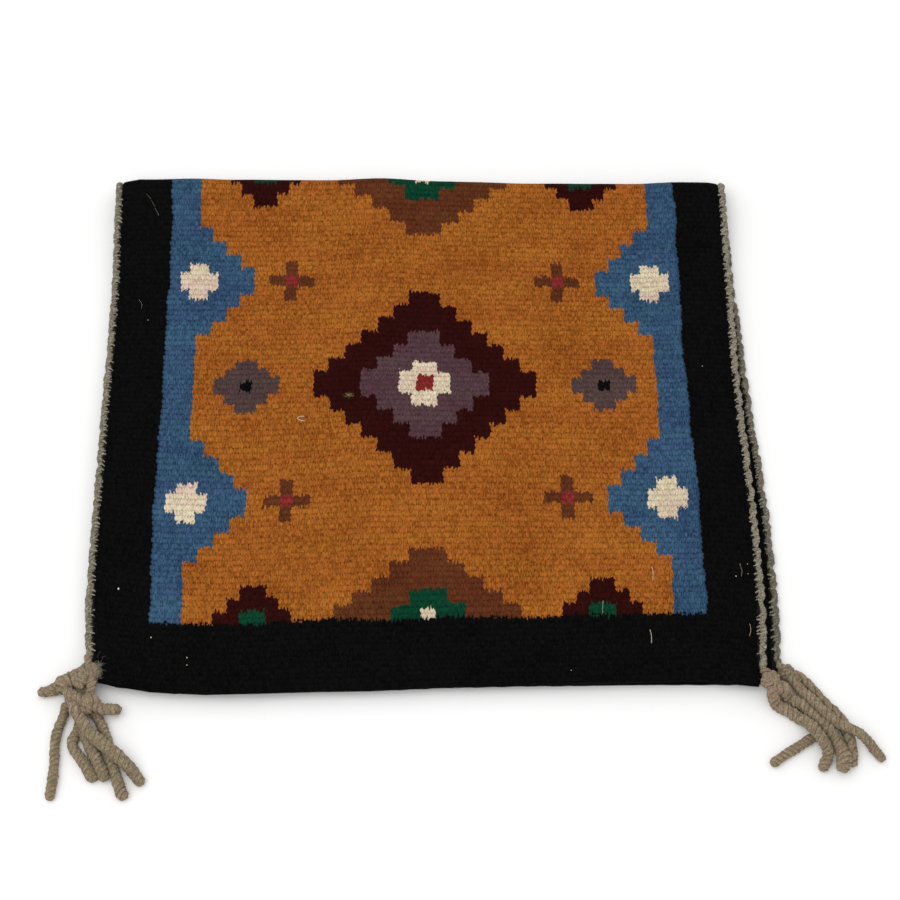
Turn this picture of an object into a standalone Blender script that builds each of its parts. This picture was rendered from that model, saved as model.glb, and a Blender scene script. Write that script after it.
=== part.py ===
"""A small hand-woven wool rug, folded once across its middle and laid down.

The cloth is one sheet. It lies in two layers with the fold at the back (+Y).
A two-ply end cord runs along each side (-X and +X), round the fold with the
cloth. At each of the four corners the cord ends in a knot, and the yarn ends
that leave the knot lie loose on the surface. Metres, +Z up. The origin is on
the surface, under the middle of the rug.
"""
import math

import bpy
import bmesh
from mathutils import Matrix, Vector

# ---- driving dimensions (metres) ----
THICKNESS = 0.0036          # woven cloth
LAYER_DEPTH = 0.327         # from the fold to the front edge, along the cloth
BEND_HALF = 0.0085          # cloth in each half of the bend
BEND_DEPTH = 0.0055         # how far the bend bulges back, at mid-thickness
GAP_FRONT = 0.0010          # between the layers over most of the rug
GAP_FOLD = 0.0052           # between the layers where the bend starts
GAP_RISE = 0.060            # length over which the top layer rises to the bend
WAVE_HEIGHT = 0.0012        # the top layer's unevenness
WAVE_X = 0.210
WAVE_Y = 0.170
CORD_DIAMETER = 0.0042      # end cord
CLEARANCE = 0.0003          # between a cord and the cloth's edge
KNOT_CLEARANCE = 0.0004     # between a knot and the ends that leave it
STRAND_CLEARANCE = 0.0004   # between strands that cross
SURFACE_CLEARANCE = 0.0001  # under strands
REST_LIFT = 0.0001          # the cloth lies this much above its end cords' undersides
DROP_RATE = 45.0            # a strand's fall from a crossing, metres a square metre
SEWN_SHARE = 0.965          # of each layer's side edge, before the cord turns to its knot
CLOTH_COLUMNS = 22          # cloth faces across
LAYER_ROWS = 18             # cloth faces along each layer
BEND_ROWS = 12              # cloth faces round the bend
CORD_SAMPLES = 60           # along each half of an end cord
CORD_POINTS = 70            # along the whole tube
KNOT_SIDES = 16
KNOT_RINGS = 10
STRAND_STEP = 0.0045        # between the points of a strand's tube
STEPS_A_SPAN = 8            # samples between two points of a route

# The cloth's side edges. Distance from the fold is + on the top layer and
# - on the lower one, which is cut wider towards its right front corner.
SIDE_EDGES = (
    # from fold, left x, right x
    (-0.327, -0.1732, 0.1872),
    (-0.290, -0.1734, 0.1882),
    (-0.265, -0.1735, 0.1885),
    (-0.235, -0.1738, 0.1876),
    (-0.200, -0.1741, 0.1854),
    (-0.160, -0.1745, 0.1820),
    (-0.120, -0.1750, 0.1793),
    (-0.060, -0.1762, 0.1758),
    (0.000, -0.1781, 0.1734),
    (0.040, -0.1774, 0.1739),
    (0.080, -0.1764, 0.1745),
    (0.120, -0.1767, 0.1748),
    (0.160, -0.1771, 0.1762),
    (0.190, -0.1772, 0.1780),
    (0.220, -0.1774, 0.1797),
    (0.255, -0.1776, 0.1806),
    (0.280, -0.1770, 0.1806),
    (0.297, -0.1758, 0.1799),
    (0.312, -0.1745, 0.1791),
    (0.327, -0.1740, 0.1790),
)
# The fold's outer line and both front edges, read across the cloth.
CROSS_EDGES = (
    # across, fold y, top layer's front y, lower layer's front y
    (0.00, 0.1585, -0.1622, -0.1575),
    (0.03, 0.1608, -0.1652, -0.1630),
    (0.11, 0.1613, -0.1688, -0.1665),
    (0.20, 0.1604, -0.1698, -0.1662),
    (0.32, 0.1600, -0.1680, -0.1655),
    (0.43, 0.1615, -0.1670, -0.1645),
    (0.54, 0.1591, -0.1654, -0.1630),
    (0.66, 0.1580, -0.1641, -0.1622),
    (0.84, 0.1572, -0.1624, -0.1615),
    (0.94, 0.1587, -0.1620, -0.1615),
    (0.98, 0.1588, -0.1638, -0.1612),
    (1.00, 0.1578, -0.1652, -0.1590),
)
# Corner knots, as ellipsoids.
KNOTS = {
    # name: centre, half sizes
    "knot_left_upper": ((-0.1812, -0.1616, 0.0092), (0.0062, 0.0057, 0.0046)),
    "knot_left_lower": ((-0.1812, -0.1730, 0.0056), (0.0070, 0.0059, 0.0050)),
    "knot_right_upper": ((0.1850, -0.1625, 0.0088), (0.0056, 0.0057, 0.0044)),
    "knot_right_lower": ((0.1940, -0.1562, 0.0047), (0.0047, 0.0048, 0.0044)),
}
# Where each end cord leaves the cloth for its knots: side, layer, knot,
# compass angle and rise at which it enters the knot.
CORD_ENDS = (
    ("left", 1, "knot_left_upper", 82, -12),
    ("left", -1, "knot_left_lower", 68, -22),
    ("right", 1, "knot_right_upper", 112, -12),
    ("right", -1, "knot_right_lower", 125, -18),
)
# Yarn ends, in the order in which they lie on each other. The plan points are
# millimetres, and the heights follow from what each yarn end lies on. Two of
# them have no knot of their own: they start tucked in under a neighbour.
STRANDS = (
    # name, knot, leaves at (compass angle, rise), diameter, plan points
    ("strand_left_outer", "knot_left_lower", (198, -25), 0.0047,
     ((-189.6, -178.1), (-190.8, -183.8), (-191.9, -189.5), (-192.5, -195.7),
      (-192.2, -202.5), (-192.0, -208.6), (-192.1, -214.8), (-192.6, -221.4),
      (-193.2, -227.5))),
    ("strand_left_loop", "knot_left_lower", (262, -35), 0.0046,
     ((-181.5, -184.4), (-181.5, -188.3), (-182.8, -192.3), (-183.5, -196.3),
      (-181.7, -200.2), (-178.5, -204.1), (-175.6, -208.6), (-172.9, -212.8),
      (-170.1, -216.7))),
    ("strand_left_middle", None, None, 0.0049,
     ((-175.9, -189.0), (-174.9, -192.1), (-173.6, -195.8), (-172.0, -199.7),
      (-170.1, -204.2), (-168.2, -208.7), (-166.1, -213.4),
      (-164.4, -217.0))),
    ("strand_left_inner", "knot_left_lower", (323, -25), 0.0052,
     ((-169.6, -183.9), (-167.2, -189.0), (-165.2, -194.1), (-163.8, -199.8),
      (-162.1, -205.4), (-160.5, -211.0), (-158.5, -216.5), (-156.6, -221.5),
      (-154.2, -227.0))),
    ("strand_left_over", "knot_left_lower", (262, 38), 0.0054,
     ((-180.1, -182.8), (-177.1, -187.6), (-173.6, -192.1), (-169.3, -196.1),
      (-164.1, -200.4), (-159.3, -204.1), (-155.0, -207.9), (-151.0, -211.6),
      (-147.6, -216.0), (-145.8, -219.3))),
    ("stub_left_outer", "knot_left_upper", (198, -8), 0.0062,
     ((-191.2, -164.4), (-196.8, -166.4), (-201.0, -167.0))),
    ("stub_left_inner", "knot_left_lower", (340, 35), 0.0056,
     ((-168.8, -178.6), (-163.3, -178.2), (-160.1, -177.7))),
    ("strand_right_under", None, None, 0.0046,
     ((209.1, -190.6), (206.0, -192.7), (202.9, -194.6), (198.0, -197.9),
      (191.9, -201.8), (187.1, -205.1), (183.5, -207.9))),
    ("strand_right_back", "knot_right_lower", (350, -18), 0.0048,
     ((204.9, -161.4), (209.0, -166.5), (212.2, -170.6), (214.9, -174.1),
      (218.2, -177.3), (221.5, -181.1), (224.1, -184.9), (226.0, -190.0),
      (226.9, -194.4), (227.4, -199.4), (227.0, -204.4), (225.6, -208.7))),
    ("strand_right_front", "knot_right_upper", (270, -14), 0.0052,
     ((188.2, -173.9), (192.2, -176.6), (195.8, -178.8), (199.1, -181.4),
      (202.5, -184.7), (205.4, -188.3), (207.8, -191.8), (209.9, -195.0),
      (211.7, -197.9), (213.0, -200.6), (213.1, -203.6), (211.5, -207.3),
      (209.2, -211.0))),
    ("strand_right_middle", "knot_right_upper", (332, 0), 0.0054,
     ((195.0, -170.1), (197.6, -171.8), (200.5, -173.6), (203.3, -175.8),
      (206.3, -178.9), (209.3, -182.6), (212.2, -186.6), (214.8, -190.5),
      (217.5, -194.6), (219.8, -199.0), (221.1, -203.6), (220.8, -208.2),
      (219.2, -212.5))),
    ("strand_right_long", "knot_right_lower", (300, 18), 0.0048,
     ((200.7, -165.6), (204.5, -170.0), (207.9, -174.0), (211.0, -177.9),
      (214.0, -181.4), (217.2, -184.5), (220.8, -187.2), (224.8, -189.3),
      (228.8, -191.5), (233.0, -194.5), (237.0, -198.3), (240.2, -202.5),
      (242.2, -205.7))),
)
# Subparts' colours (linear), roughness.
WOOL_CLOTH = ((0.010, 0.010, 0.010), 0.95)
WOOL_CORD = ((0.215, 0.165, 0.115), 0.92)


# ---- reading the tables ----
def smooth_between(rows, column, at):
    """A column of a table at a value of its first column, eased between rows."""
    rows = sorted(rows)
    if at <= rows[0][0]:
        return rows[0][column]
    for low, high in zip(rows, rows[1:]):
        if at <= high[0]:
            t = (at - low[0]) / (high[0] - low[0])
            t = t * t * (3 - 2 * t)
            return low[column] + (high[column] - low[column]) * t
    return rows[-1][column]


def eased(t):
    t = min(max(t, 0.0), 1.0)
    return t * t * (3 - 2 * t)


# ---- the cloth's shape ----
def layer_gap(x, y, bend_y):
    """Space between the two layers at a place on the rug."""
    rise = eased(1 - (bend_y - y) / GAP_RISE)
    wave = math.sin(2 * math.pi * (x / WAVE_X + 0.15))
    wave *= math.cos(2 * math.pi * (y / WAVE_Y + 0.30))
    uneven = WAVE_HEIGHT * (0.5 + 0.5 * wave) * (1 - rise)
    return GAP_FRONT + (GAP_FOLD - GAP_FRONT) * rise + uneven


def cloth_point(across, from_fold):
    """A point of the sheet's middle: across is 0 at the left edge and 1 at the right."""
    left = smooth_between(SIDE_EDGES, 1, from_fold)
    right = smooth_between(SIDE_EDGES, 2, from_fold)
    x = left + (right - left) * across
    bend_y = smooth_between(CROSS_EDGES, 1, across) - THICKNESS / 2 - BEND_DEPTH
    low_z = THICKNESS / 2 + REST_LIFT
    if abs(from_fold) < BEND_HALF:
        top_z = low_z + THICKNESS + layer_gap(x, bend_y, bend_y)
        angle = from_fold / BEND_HALF * math.pi / 2
        y = bend_y + BEND_DEPTH * math.cos(angle)
        z = (low_z + top_z) / 2 + (top_z - low_z) / 2 * math.sin(angle)
        return Vector((x, y, z))
    front_y = smooth_between(CROSS_EDGES, 2 if from_fold > 0 else 3, across)
    along = (abs(from_fold) - BEND_HALF) / (LAYER_DEPTH - BEND_HALF)
    y = bend_y + (front_y - bend_y) * along
    if from_fold < 0:
        return Vector((x, y, low_z))
    return Vector((x, y, low_z + THICKNESS + layer_gap(x, y, bend_y)))


def row_distances():
    """Distances from the fold of the cloth's rows, lower front edge first."""
    flat = LAYER_DEPTH - BEND_HALF
    half = [BEND_HALF + flat * i / LAYER_ROWS for i in range(LAYER_ROWS, -1, -1)]
    bend = [BEND_HALF * (2 * i / BEND_ROWS - 1) for i in range(1, BEND_ROWS)]
    return [-d for d in half] + bend + half[::-1]


# ---- objects ----
def clear_scene():
    for ob in list(bpy.data.objects):
        bpy.data.objects.remove(ob, do_unlink=True)


def material(name, finish):
    colour, roughness = finish
    mat = bpy.data.materials.new(name)
    mat.use_nodes = True
    shader = mat.node_tree.nodes["Principled BSDF"]
    shader.inputs["Base Color"].default_value = (*colour, 1)
    shader.inputs["Roughness"].default_value = roughness
    shader.inputs["Metallic"].default_value = 0.0
    return mat


def add_object(name, data, finish, collection):
    data.materials.append(material(name, finish))
    ob = bpy.data.objects.new(name, data)
    collection.objects.link(ob)
    return ob


def make_cloth(collection):
    """One grid, bent into its two layers, and thickened."""
    rows = row_distances()
    bm = bmesh.new()
    bmesh.ops.create_grid(bm, x_segments=CLOTH_COLUMNS, y_segments=len(rows) - 1, size=0.5)
    for vert in bm.verts:
        row = round((vert.co.y + 0.5) * (len(rows) - 1))
        vert.co = cloth_point(vert.co.x + 0.5, rows[row])
    mesh = bpy.data.meshes.new("rug_cloth")
    bm.to_mesh(mesh)
    bm.free()
    ob = add_object("rug_cloth", mesh, WOOL_CLOTH, collection)
    thick = ob.modifiers.new("thickness", "SOLIDIFY")
    thick.thickness = THICKNESS
    thick.offset = 0
    return ob


def add_tube(name, points, diameter, collection):
    """A round tube through the points, with closed ends."""
    curve = bpy.data.curves.new(name, "CURVE")
    curve.dimensions = "3D"
    curve.bevel_depth = diameter / 2
    curve.bevel_resolution = 2
    curve.use_fill_caps = True
    spline = curve.splines.new("POLY")
    spline.points.add(len(points) - 1)
    for point, place in zip(spline.points, points):
        point.co = (*place, 1)
    return add_object(name, curve, WOOL_CORD, collection)


def spline_through(points):
    """Close samples along a smooth curve through the points."""
    ends = [2 * points[0] - points[1]] + points + [2 * points[-1] - points[-2]]
    out = []
    for a, b, c, d in zip(ends, ends[1:], ends[2:], ends[3:]):
        for i in range(STEPS_A_SPAN):
            t = i / STEPS_A_SPAN
            out.append(0.5 * (2 * b + (c - a) * t + (2 * a - 5 * b + 4 * c - d) * t * t
                              + (3 * b - a - 3 * c + d) * t ** 3))
    return out + [points[-1].copy()]


def evenly(points, count):
    """The same line, with count points at equal distances."""
    reach = [0.0]
    for a, b in zip(points, points[1:]):
        reach.append(reach[-1] + (b - a).length)
    out = []
    span = 0
    for i in range(count):
        at = reach[-1] * i / (count - 1)
        while span < len(points) - 2 and reach[span + 1] < at:
            span += 1
        t = (at - reach[span]) / (reach[span + 1] - reach[span])
        out.append(points[span].lerp(points[span + 1], min(t, 1.0)))
    return out


def knot_exit(knot, compass, rise, diameter):
    """Two points on the line that leaves a knot square to it: just clear, and further out."""
    centre, half = KNOTS[knot]
    turn, lift = math.radians(compass), math.radians(rise)
    way = Vector((math.cos(turn) * math.cos(lift), math.sin(turn) * math.cos(lift),
                  math.sin(lift)))
    size = math.sqrt(sum((w * h) ** 2 for w, h in zip(way, half)))
    start = Vector(centre) + Vector(h * h * w / size for w, h in zip(way, half))
    start += way * KNOT_CLEARANCE
    return [start, start + way * diameter / 2]


def cord_line(side, layer):
    """Centres of one half of an end cord, from the fold to where it leaves the cloth."""
    out = -1 if side == "left" else 1
    across = 0 if side == "left" else 1
    offset = CORD_DIAMETER / 2 + CLEARANCE
    lowest = CORD_DIAMETER / 2
    sewn = layer * LAYER_DEPTH * SEWN_SHARE
    line = []
    for i in range(CORD_SAMPLES + 1):
        place = cloth_point(across, sewn * i / CORD_SAMPLES)
        place.x += out * offset
        place.z = max(place.z, lowest)
        line.append(place)
    return line


def make_end_cord(side, collection):
    halves, ends = {}, {}
    for end_side, layer, knot, compass, rise in CORD_ENDS:
        if end_side == side:
            start, out = knot_exit(knot, compass, rise, CORD_DIAMETER)
            line = cord_line(side, layer)
            bridge = spline_through([line[-2], line[-1], out, start])[:-STEPS_A_SPAN]
            halves[layer] = line[:-2] + bridge
            ends[layer] = start
    whole = evenly(halves[-1][::-1] + halves[1][1:], CORD_POINTS)
    whole = [ends[-1]] + whole + [ends[1]]
    add_tube(f"end_cord_{side}", whole, CORD_DIAMETER, collection)


def lie_on(line, radius, laid):
    """Raises a strand's line so that it rests on the surface and on the strands laid before."""
    reach, raised = [0.0], []
    for a, b in zip(line, line[1:]):
        reach.append(reach[-1] + math.hypot(b.x - a.x, b.y - a.y))
    for along, place in zip(reach, line):
        place.z = max(place.z, radius + SURFACE_CLEARANCE)
        z = place.z
        for other, other_radius in laid:
            touch = radius + other_radius + STRAND_CLEARANCE
            for spot in other:
                flat = math.hypot(spot.x - place.x, spot.y - place.y)
                if flat < touch:
                    z = max(z, spot.z + math.sqrt(touch ** 2 - flat ** 2))
        if z > place.z:
            raised.append((along, z))
    for along, place in zip(reach, line):
        for at, z in raised:
            place.z = max(place.z, z - DROP_RATE * (at - along) ** 2)


def make_strands(collection):
    laid = []
    for name, knot, leaves, diameter, plan in STRANDS:
        start = knot_exit(knot, *leaves, diameter) if knot else []
        radius = diameter / 2
        floor = radius + SURFACE_CLEARANCE
        line = spline_through(start + [Vector((x / 1000, y / 1000, floor)) for x, y in plan])
        lie_on(line, radius, laid)
        free = line[STEPS_A_SPAN:] if knot else line
        count = round(sum((b - a).length for a, b in zip(free, free[1:])) / STRAND_STEP) + 1
        points = evenly(free, count)
        add_tube(name, [line[0]] + points if knot else points, diameter, collection)
        laid.append((line, radius))


def make_knots(collection):
    for name, (centre, half) in KNOTS.items():
        bm = bmesh.new()
        size = Matrix.Diagonal((*half, 1))
        bmesh.ops.create_uvsphere(bm, u_segments=KNOT_SIDES, v_segments=KNOT_RINGS, radius=1,
                                  matrix=size)
        mesh = bpy.data.meshes.new(name)
        bm.to_mesh(mesh)
        bm.free()
        mesh.shade_smooth()
        add_object(name, mesh, WOOL_CORD, collection).location = centre


def main():
    clear_scene()
    collection = bpy.data.collections.new("folded_rug")
    bpy.context.scene.collection.children.link(collection)
    make_cloth(collection)
    make_end_cord("left", collection)
    make_end_cord("right", collection)
    make_knots(collection)
    make_strands(collection)


main()
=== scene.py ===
import math

import bpy
import numpy as np
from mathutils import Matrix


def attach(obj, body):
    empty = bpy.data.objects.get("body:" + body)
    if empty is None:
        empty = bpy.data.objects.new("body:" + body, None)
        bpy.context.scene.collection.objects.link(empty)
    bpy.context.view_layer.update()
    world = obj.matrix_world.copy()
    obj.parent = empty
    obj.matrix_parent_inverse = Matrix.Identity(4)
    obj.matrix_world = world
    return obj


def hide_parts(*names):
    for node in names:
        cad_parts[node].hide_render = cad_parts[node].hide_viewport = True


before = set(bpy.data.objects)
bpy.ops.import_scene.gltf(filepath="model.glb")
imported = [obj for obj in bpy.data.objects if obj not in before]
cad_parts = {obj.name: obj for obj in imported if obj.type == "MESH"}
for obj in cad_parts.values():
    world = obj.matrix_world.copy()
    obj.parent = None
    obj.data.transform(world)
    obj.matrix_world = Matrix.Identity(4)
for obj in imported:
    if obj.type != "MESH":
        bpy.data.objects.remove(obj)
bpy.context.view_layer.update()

# A small hand-woven wool rug, folded once and laid flat. Metres throughout.
mm = 0.001
random = np.random.default_rng(27)
between = random.uniform


# Camera first

cameraSetup = {
    "aim": (0.0151, -0.0183, 0.0),
    "elevation": 61.0,          # degrees above the floor
    "distance": 1.402,
    "lens": 100.0,              # on a 36 mm sensor
}


def addObject(name, data):
    made = bpy.data.objects.new(name, data)
    bpy.context.scene.collection.objects.link(made)
    return made


def makeCamera(setup):
    tilt = math.radians(setup["elevation"])
    data = bpy.data.cameras.new("studioCamera")
    data.lens = setup["lens"]
    data.sensor_width = 36.0
    data.clip_end = 20.0
    camera = addObject("studioCamera", data)
    x, y, z = setup["aim"]
    reach = setup["distance"]
    camera.location = (x, y - math.cos(tilt) * reach, z + math.sin(tilt) * reach)
    camera.rotation_euler = (math.pi / 2 - tilt, 0, 0)
    bpy.context.scene.camera = camera


makeCamera(cameraSetup)
print("camera placed")


# Small helpers for meshes and for material nodes

def addMesh(name, points, faces, corners=None, mapName="along"):
    mesh = bpy.data.meshes.new(name)
    mesh.from_pydata([tuple(p) for p in points], [], [tuple(int(i) for i in f) for f in faces])
    if corners is not None:
        layer = mesh.uv_layers.new(name=mapName)
        layer.data.foreach_set("uv", np.asarray(corners, dtype=np.float32).ravel())
    mesh.shade_smooth()
    return addObject(name, mesh)


def makePiece(name, parts, material, standsFor=None, mapName="along"):
    # joins parts into one piece of the rug; standsFor is the solid that it takes the place of
    points, faces, corners, shift = [], [], [], 0
    for some, theirFaces, theirCorners in parts:
        points.append(some)
        faces += [[i + shift for i in f] for f in theirFaces]
        corners += list(theirCorners)
        shift += len(some)
    piece = addMesh(name, np.concatenate(points), faces, corners, mapName)
    piece.data.materials.append(material)
    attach(piece, "root")
    if standsFor:
        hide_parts(standsFor)
    return piece


def gridFaces(index):
    # squares between rows of numbered points; each row closes on itself
    near = np.roll(index, -1, axis=1)
    return np.stack([index[:-1], near[:-1], near[1:], index[1:]], axis=-1).reshape(-1, 4).tolist()


making = {"tree": None}         # the nodes of the material that is being made


def newMaterial(name):
    material = bpy.data.materials.new(name)
    material.use_nodes = True
    making["tree"] = tree = material.node_tree
    tree.nodes.clear()
    output = tree.nodes.new("ShaderNodeOutputMaterial")
    shader = tree.nodes.new("ShaderNodeBsdfPrincipled")
    tree.links.new(shader.outputs["BSDF"], output.inputs["Surface"])
    return material, shader


def setInputs(node, values):
    # a value is a number, a colour, a socket or a (socket, factor) pair
    for key, value in values.items():
        if isinstance(value, tuple) and isinstance(value[0], bpy.types.NodeSocket):
            value = calc("MULTIPLY", *value)
        if isinstance(value, bpy.types.NodeSocket):
            making["tree"].links.new(value, node.inputs[key])
        else:
            node.inputs[key].default_value = value


def addNode(kind, values, **settings):
    node = making["tree"].nodes.new("ShaderNode" + kind)
    for key, value in settings.items():
        setattr(node, key, value)
    setInputs(node, values)
    return node.outputs


def calc(operation, *values):
    # calc("ADD", a, b) makes one Math node, and more than two values make a row of them
    if len(values) > 2:
        values = (calc(operation, *values[:-1]), values[-1])
    return addNode("Math", dict(enumerate(values)), operation=operation)[0]


def blendColours(amount, first, second, way="MIX"):
    first, second = (c if isinstance(c, bpy.types.NodeSocket) else (*c, 1) for c in (first, second))
    return addNode("Mix", {0: amount, 6: first, 7: second}, data_type="RGBA", blend_type=way,
                   clamp_factor=True)[2]


def stretchRange(value, low, high, toHigh=1.0):
    values = {0: value, 1: low, 2: high, 3: 0.0, 4: toHigh}
    return addNode("MapRange", values, interpolation_type="SMOOTHSTEP")[0]


def joinAxes(*axes):
    return addNode("CombineXYZ", dict(enumerate(axes)))[0]


def noiseAt(place, scale, detail=2.0, roughness=0.5):
    # the place is a vector, or its two or three axes
    if isinstance(place, tuple):
        place = joinAxes(*place)
    values = {"Vector": place, "Scale": scale, "Detail": detail, "Roughness": roughness}
    return addNode("TexNoise", values)[0]


def chanceAt(*axes):
    return addNode("TexWhiteNoise", {"Vector": joinAxes(*axes)}, noise_dimensions="3D")[0]


def readMap(mapName):
    return addNode("SeparateXYZ", {0: addNode("UVMap", {}, uv_map=mapName)[0]})[:2]


def objectPlace():
    return addNode("TexCoord", {})["Object"]


def finishWool(shader, colour, height, strength, depth, finish):
    bump = addNode("Bump", {"Strength": strength, "Distance": depth, "Height": height})[0]
    sockets = ("Roughness", "Specular IOR Level", "Sheen Weight", "Sheen Roughness", "Sheen Tint")
    setInputs(shader, {"Base Color": colour, "Normal": bump, **dict(zip(sockets, finish))})


# The cloth's shape, the same as the solid part's

cloth = {
    "thickness": 0.0036,
    "restLift": 0.0001,
    "layerDepth": 0.327,        # fold to front edge, along the cloth
    "bendHalf": 0.0085,
    "bendDepth": 0.0055,
    "gapFront": 0.0010,
    "gapFold": 0.0052,
    "gapRise": 0.060,
    "waveHeight": 0.0012,
    "waveX": 0.210,
    "waveY": 0.170,
}
sideEdges = np.array((          # from fold (+ top layer), left x, right x
    (-0.327, -0.1732, 0.1872), (-0.290, -0.1734, 0.1882), (-0.265, -0.1735, 0.1885),
    (-0.235, -0.1738, 0.1876), (-0.200, -0.1741, 0.1854), (-0.160, -0.1745, 0.1820),
    (-0.120, -0.1750, 0.1793), (-0.060, -0.1762, 0.1758), (0.000, -0.1781, 0.1734),
    (0.040, -0.1774, 0.1739), (0.080, -0.1764, 0.1745), (0.120, -0.1767, 0.1748),
    (0.160, -0.1771, 0.1762), (0.190, -0.1772, 0.1780), (0.220, -0.1774, 0.1797),
    (0.255, -0.1776, 0.1806), (0.280, -0.1770, 0.1806), (0.297, -0.1758, 0.1799),
    (0.312, -0.1745, 0.1791), (0.327, -0.1740, 0.1790)))
crossEdges = np.array((         # across, fold y, top front y, lower front y
    (0.00, 0.1585, -0.1622, -0.1575), (0.03, 0.1608, -0.1652, -0.1630),
    (0.11, 0.1613, -0.1688, -0.1665), (0.20, 0.1604, -0.1698, -0.1662),
    (0.32, 0.1600, -0.1680, -0.1655), (0.43, 0.1615, -0.1670, -0.1645),
    (0.54, 0.1591, -0.1654, -0.1630), (0.66, 0.1580, -0.1641, -0.1622),
    (0.84, 0.1572, -0.1624, -0.1615), (0.94, 0.1587, -0.1620, -0.1615),
    (0.98, 0.1588, -0.1638, -0.1612), (1.00, 0.1578, -0.1652, -0.1590)))


def eased(t):
    t = np.clip(t, 0.0, 1.0)
    return t * t * (3 - 2 * t)


def readTable(rows, column, at):
    at = np.asarray(at, dtype=float)
    low = np.clip(np.searchsorted(rows[:, 0], at) - 1, 0, len(rows) - 2)
    share = eased((at - rows[low, 0]) / (rows[low + 1, 0] - rows[low, 0]))
    return rows[low, column] + (rows[low + 1, column] - rows[low, column]) * share


def layerGap(x, y, bendY):
    rise = eased(1 - (bendY - y) / cloth["gapRise"])
    wave = np.sin(2 * np.pi * (x / cloth["waveX"] + 0.15))
    wave = wave * np.cos(2 * np.pi * (y / cloth["waveY"] + 0.30))
    uneven = cloth["waveHeight"] * (0.5 + 0.5 * wave) * (1 - rise)
    return cloth["gapFront"] + (cloth["gapFold"] - cloth["gapFront"]) * rise + uneven


def clothMiddle(across, fromFold):
    # the middle of the sheet's thickness; both arguments are arrays of one shape
    thick, bendHalf = cloth["thickness"], cloth["bendHalf"]
    left, right = (readTable(sideEdges, column, fromFold) for column in (1, 2))
    x = left + (right - left) * across
    foldY, topFront, lowFront = (readTable(crossEdges, column, across) for column in (1, 2, 3))
    bendY = foldY - thick / 2 - cloth["bendDepth"]
    lowZ = thick / 2 + cloth["restLift"]
    isTop = fromFold > 0
    along = (np.abs(fromFold) - bendHalf) / (cloth["layerDepth"] - bendHalf)
    layerY = bendY + (np.where(isTop, topFront, lowFront) - bendY) * along
    layerZ = np.where(isTop, lowZ + thick + layerGap(x, layerY, bendY), lowZ)
    angle = np.clip(fromFold / bendHalf, -1, 1) * np.pi / 2
    foldZ = lowZ + thick + layerGap(x, bendY, bendY)
    inBend = np.abs(fromFold) < bendHalf
    y = np.where(inBend, bendY + cloth["bendDepth"] * np.cos(angle), layerY)
    z = np.where(inBend, (lowZ + foldZ) / 2 + (foldZ - lowZ) / 2 * np.sin(angle), layerZ)
    return np.stack([x, y, z], axis=-1)


def clothNormal(across, fromFold):
    step = 0.0004
    alongX = clothMiddle(across + 0.001, fromFold) - clothMiddle(across - 0.001, fromFold)
    alongY = clothMiddle(across, fromFold + step) - clothMiddle(across, fromFold - step)
    return unit(np.cross(alongY, alongX))


edgeAt = {"left": 0.0, "right": 1.0}
inward = {"left": 1, "right": -1}


def besideCloth(side, distance, out):
    # a line along the cloth's side, this far out from its edge
    line = clothMiddle(np.full(len(distance), edgeAt[side]), distance)
    line[:, 0] -= inward[side] * out
    return line


# Yarn lines: routes, tubes and twisted plies

yarn = {
    "stepsASpan": 8,
    "knotClearance": 0.0004,
    "strandClearance": 0.0004,
    "surfaceClearance": 0.0001,
    "dropRate": 45.0,           # how fast a strand falls away from a crossing
    "ringStep": 0.00052,
    "pitch": 0.0088,            # one turn of the twist
    "loosePitch": 0.0130,       # where only two plies are twisted
    "groove": 0.13,             # depth of the grooves between plies, as a share of the radius
    "looseGroove": 0.24,
    "hair": 0.000035,           # radius of a loose fibre
    "hairs": {                  # how many on a length of yarn, and the longest
        "strand": (90, 0.0026),
        "endCord": (700, 0.0024),
        "knotTurn": (40, 0.0022),
        "overTurn": (60, 0.0024),
    },
}
knots = {                       # centre, half sizes
    "knot_left_upper": ((-0.1812, -0.1616, 0.0092), (0.0062, 0.0057, 0.0046)),
    "knot_left_lower": ((-0.1812, -0.1730, 0.0056), (0.0070, 0.0059, 0.0050)),
    "knot_right_upper": ((0.1850, -0.1625, 0.0088), (0.0056, 0.0057, 0.0044)),
    "knot_right_lower": ((0.1940, -0.1562, 0.0047), (0.0047, 0.0048, 0.0044)),
}
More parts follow.
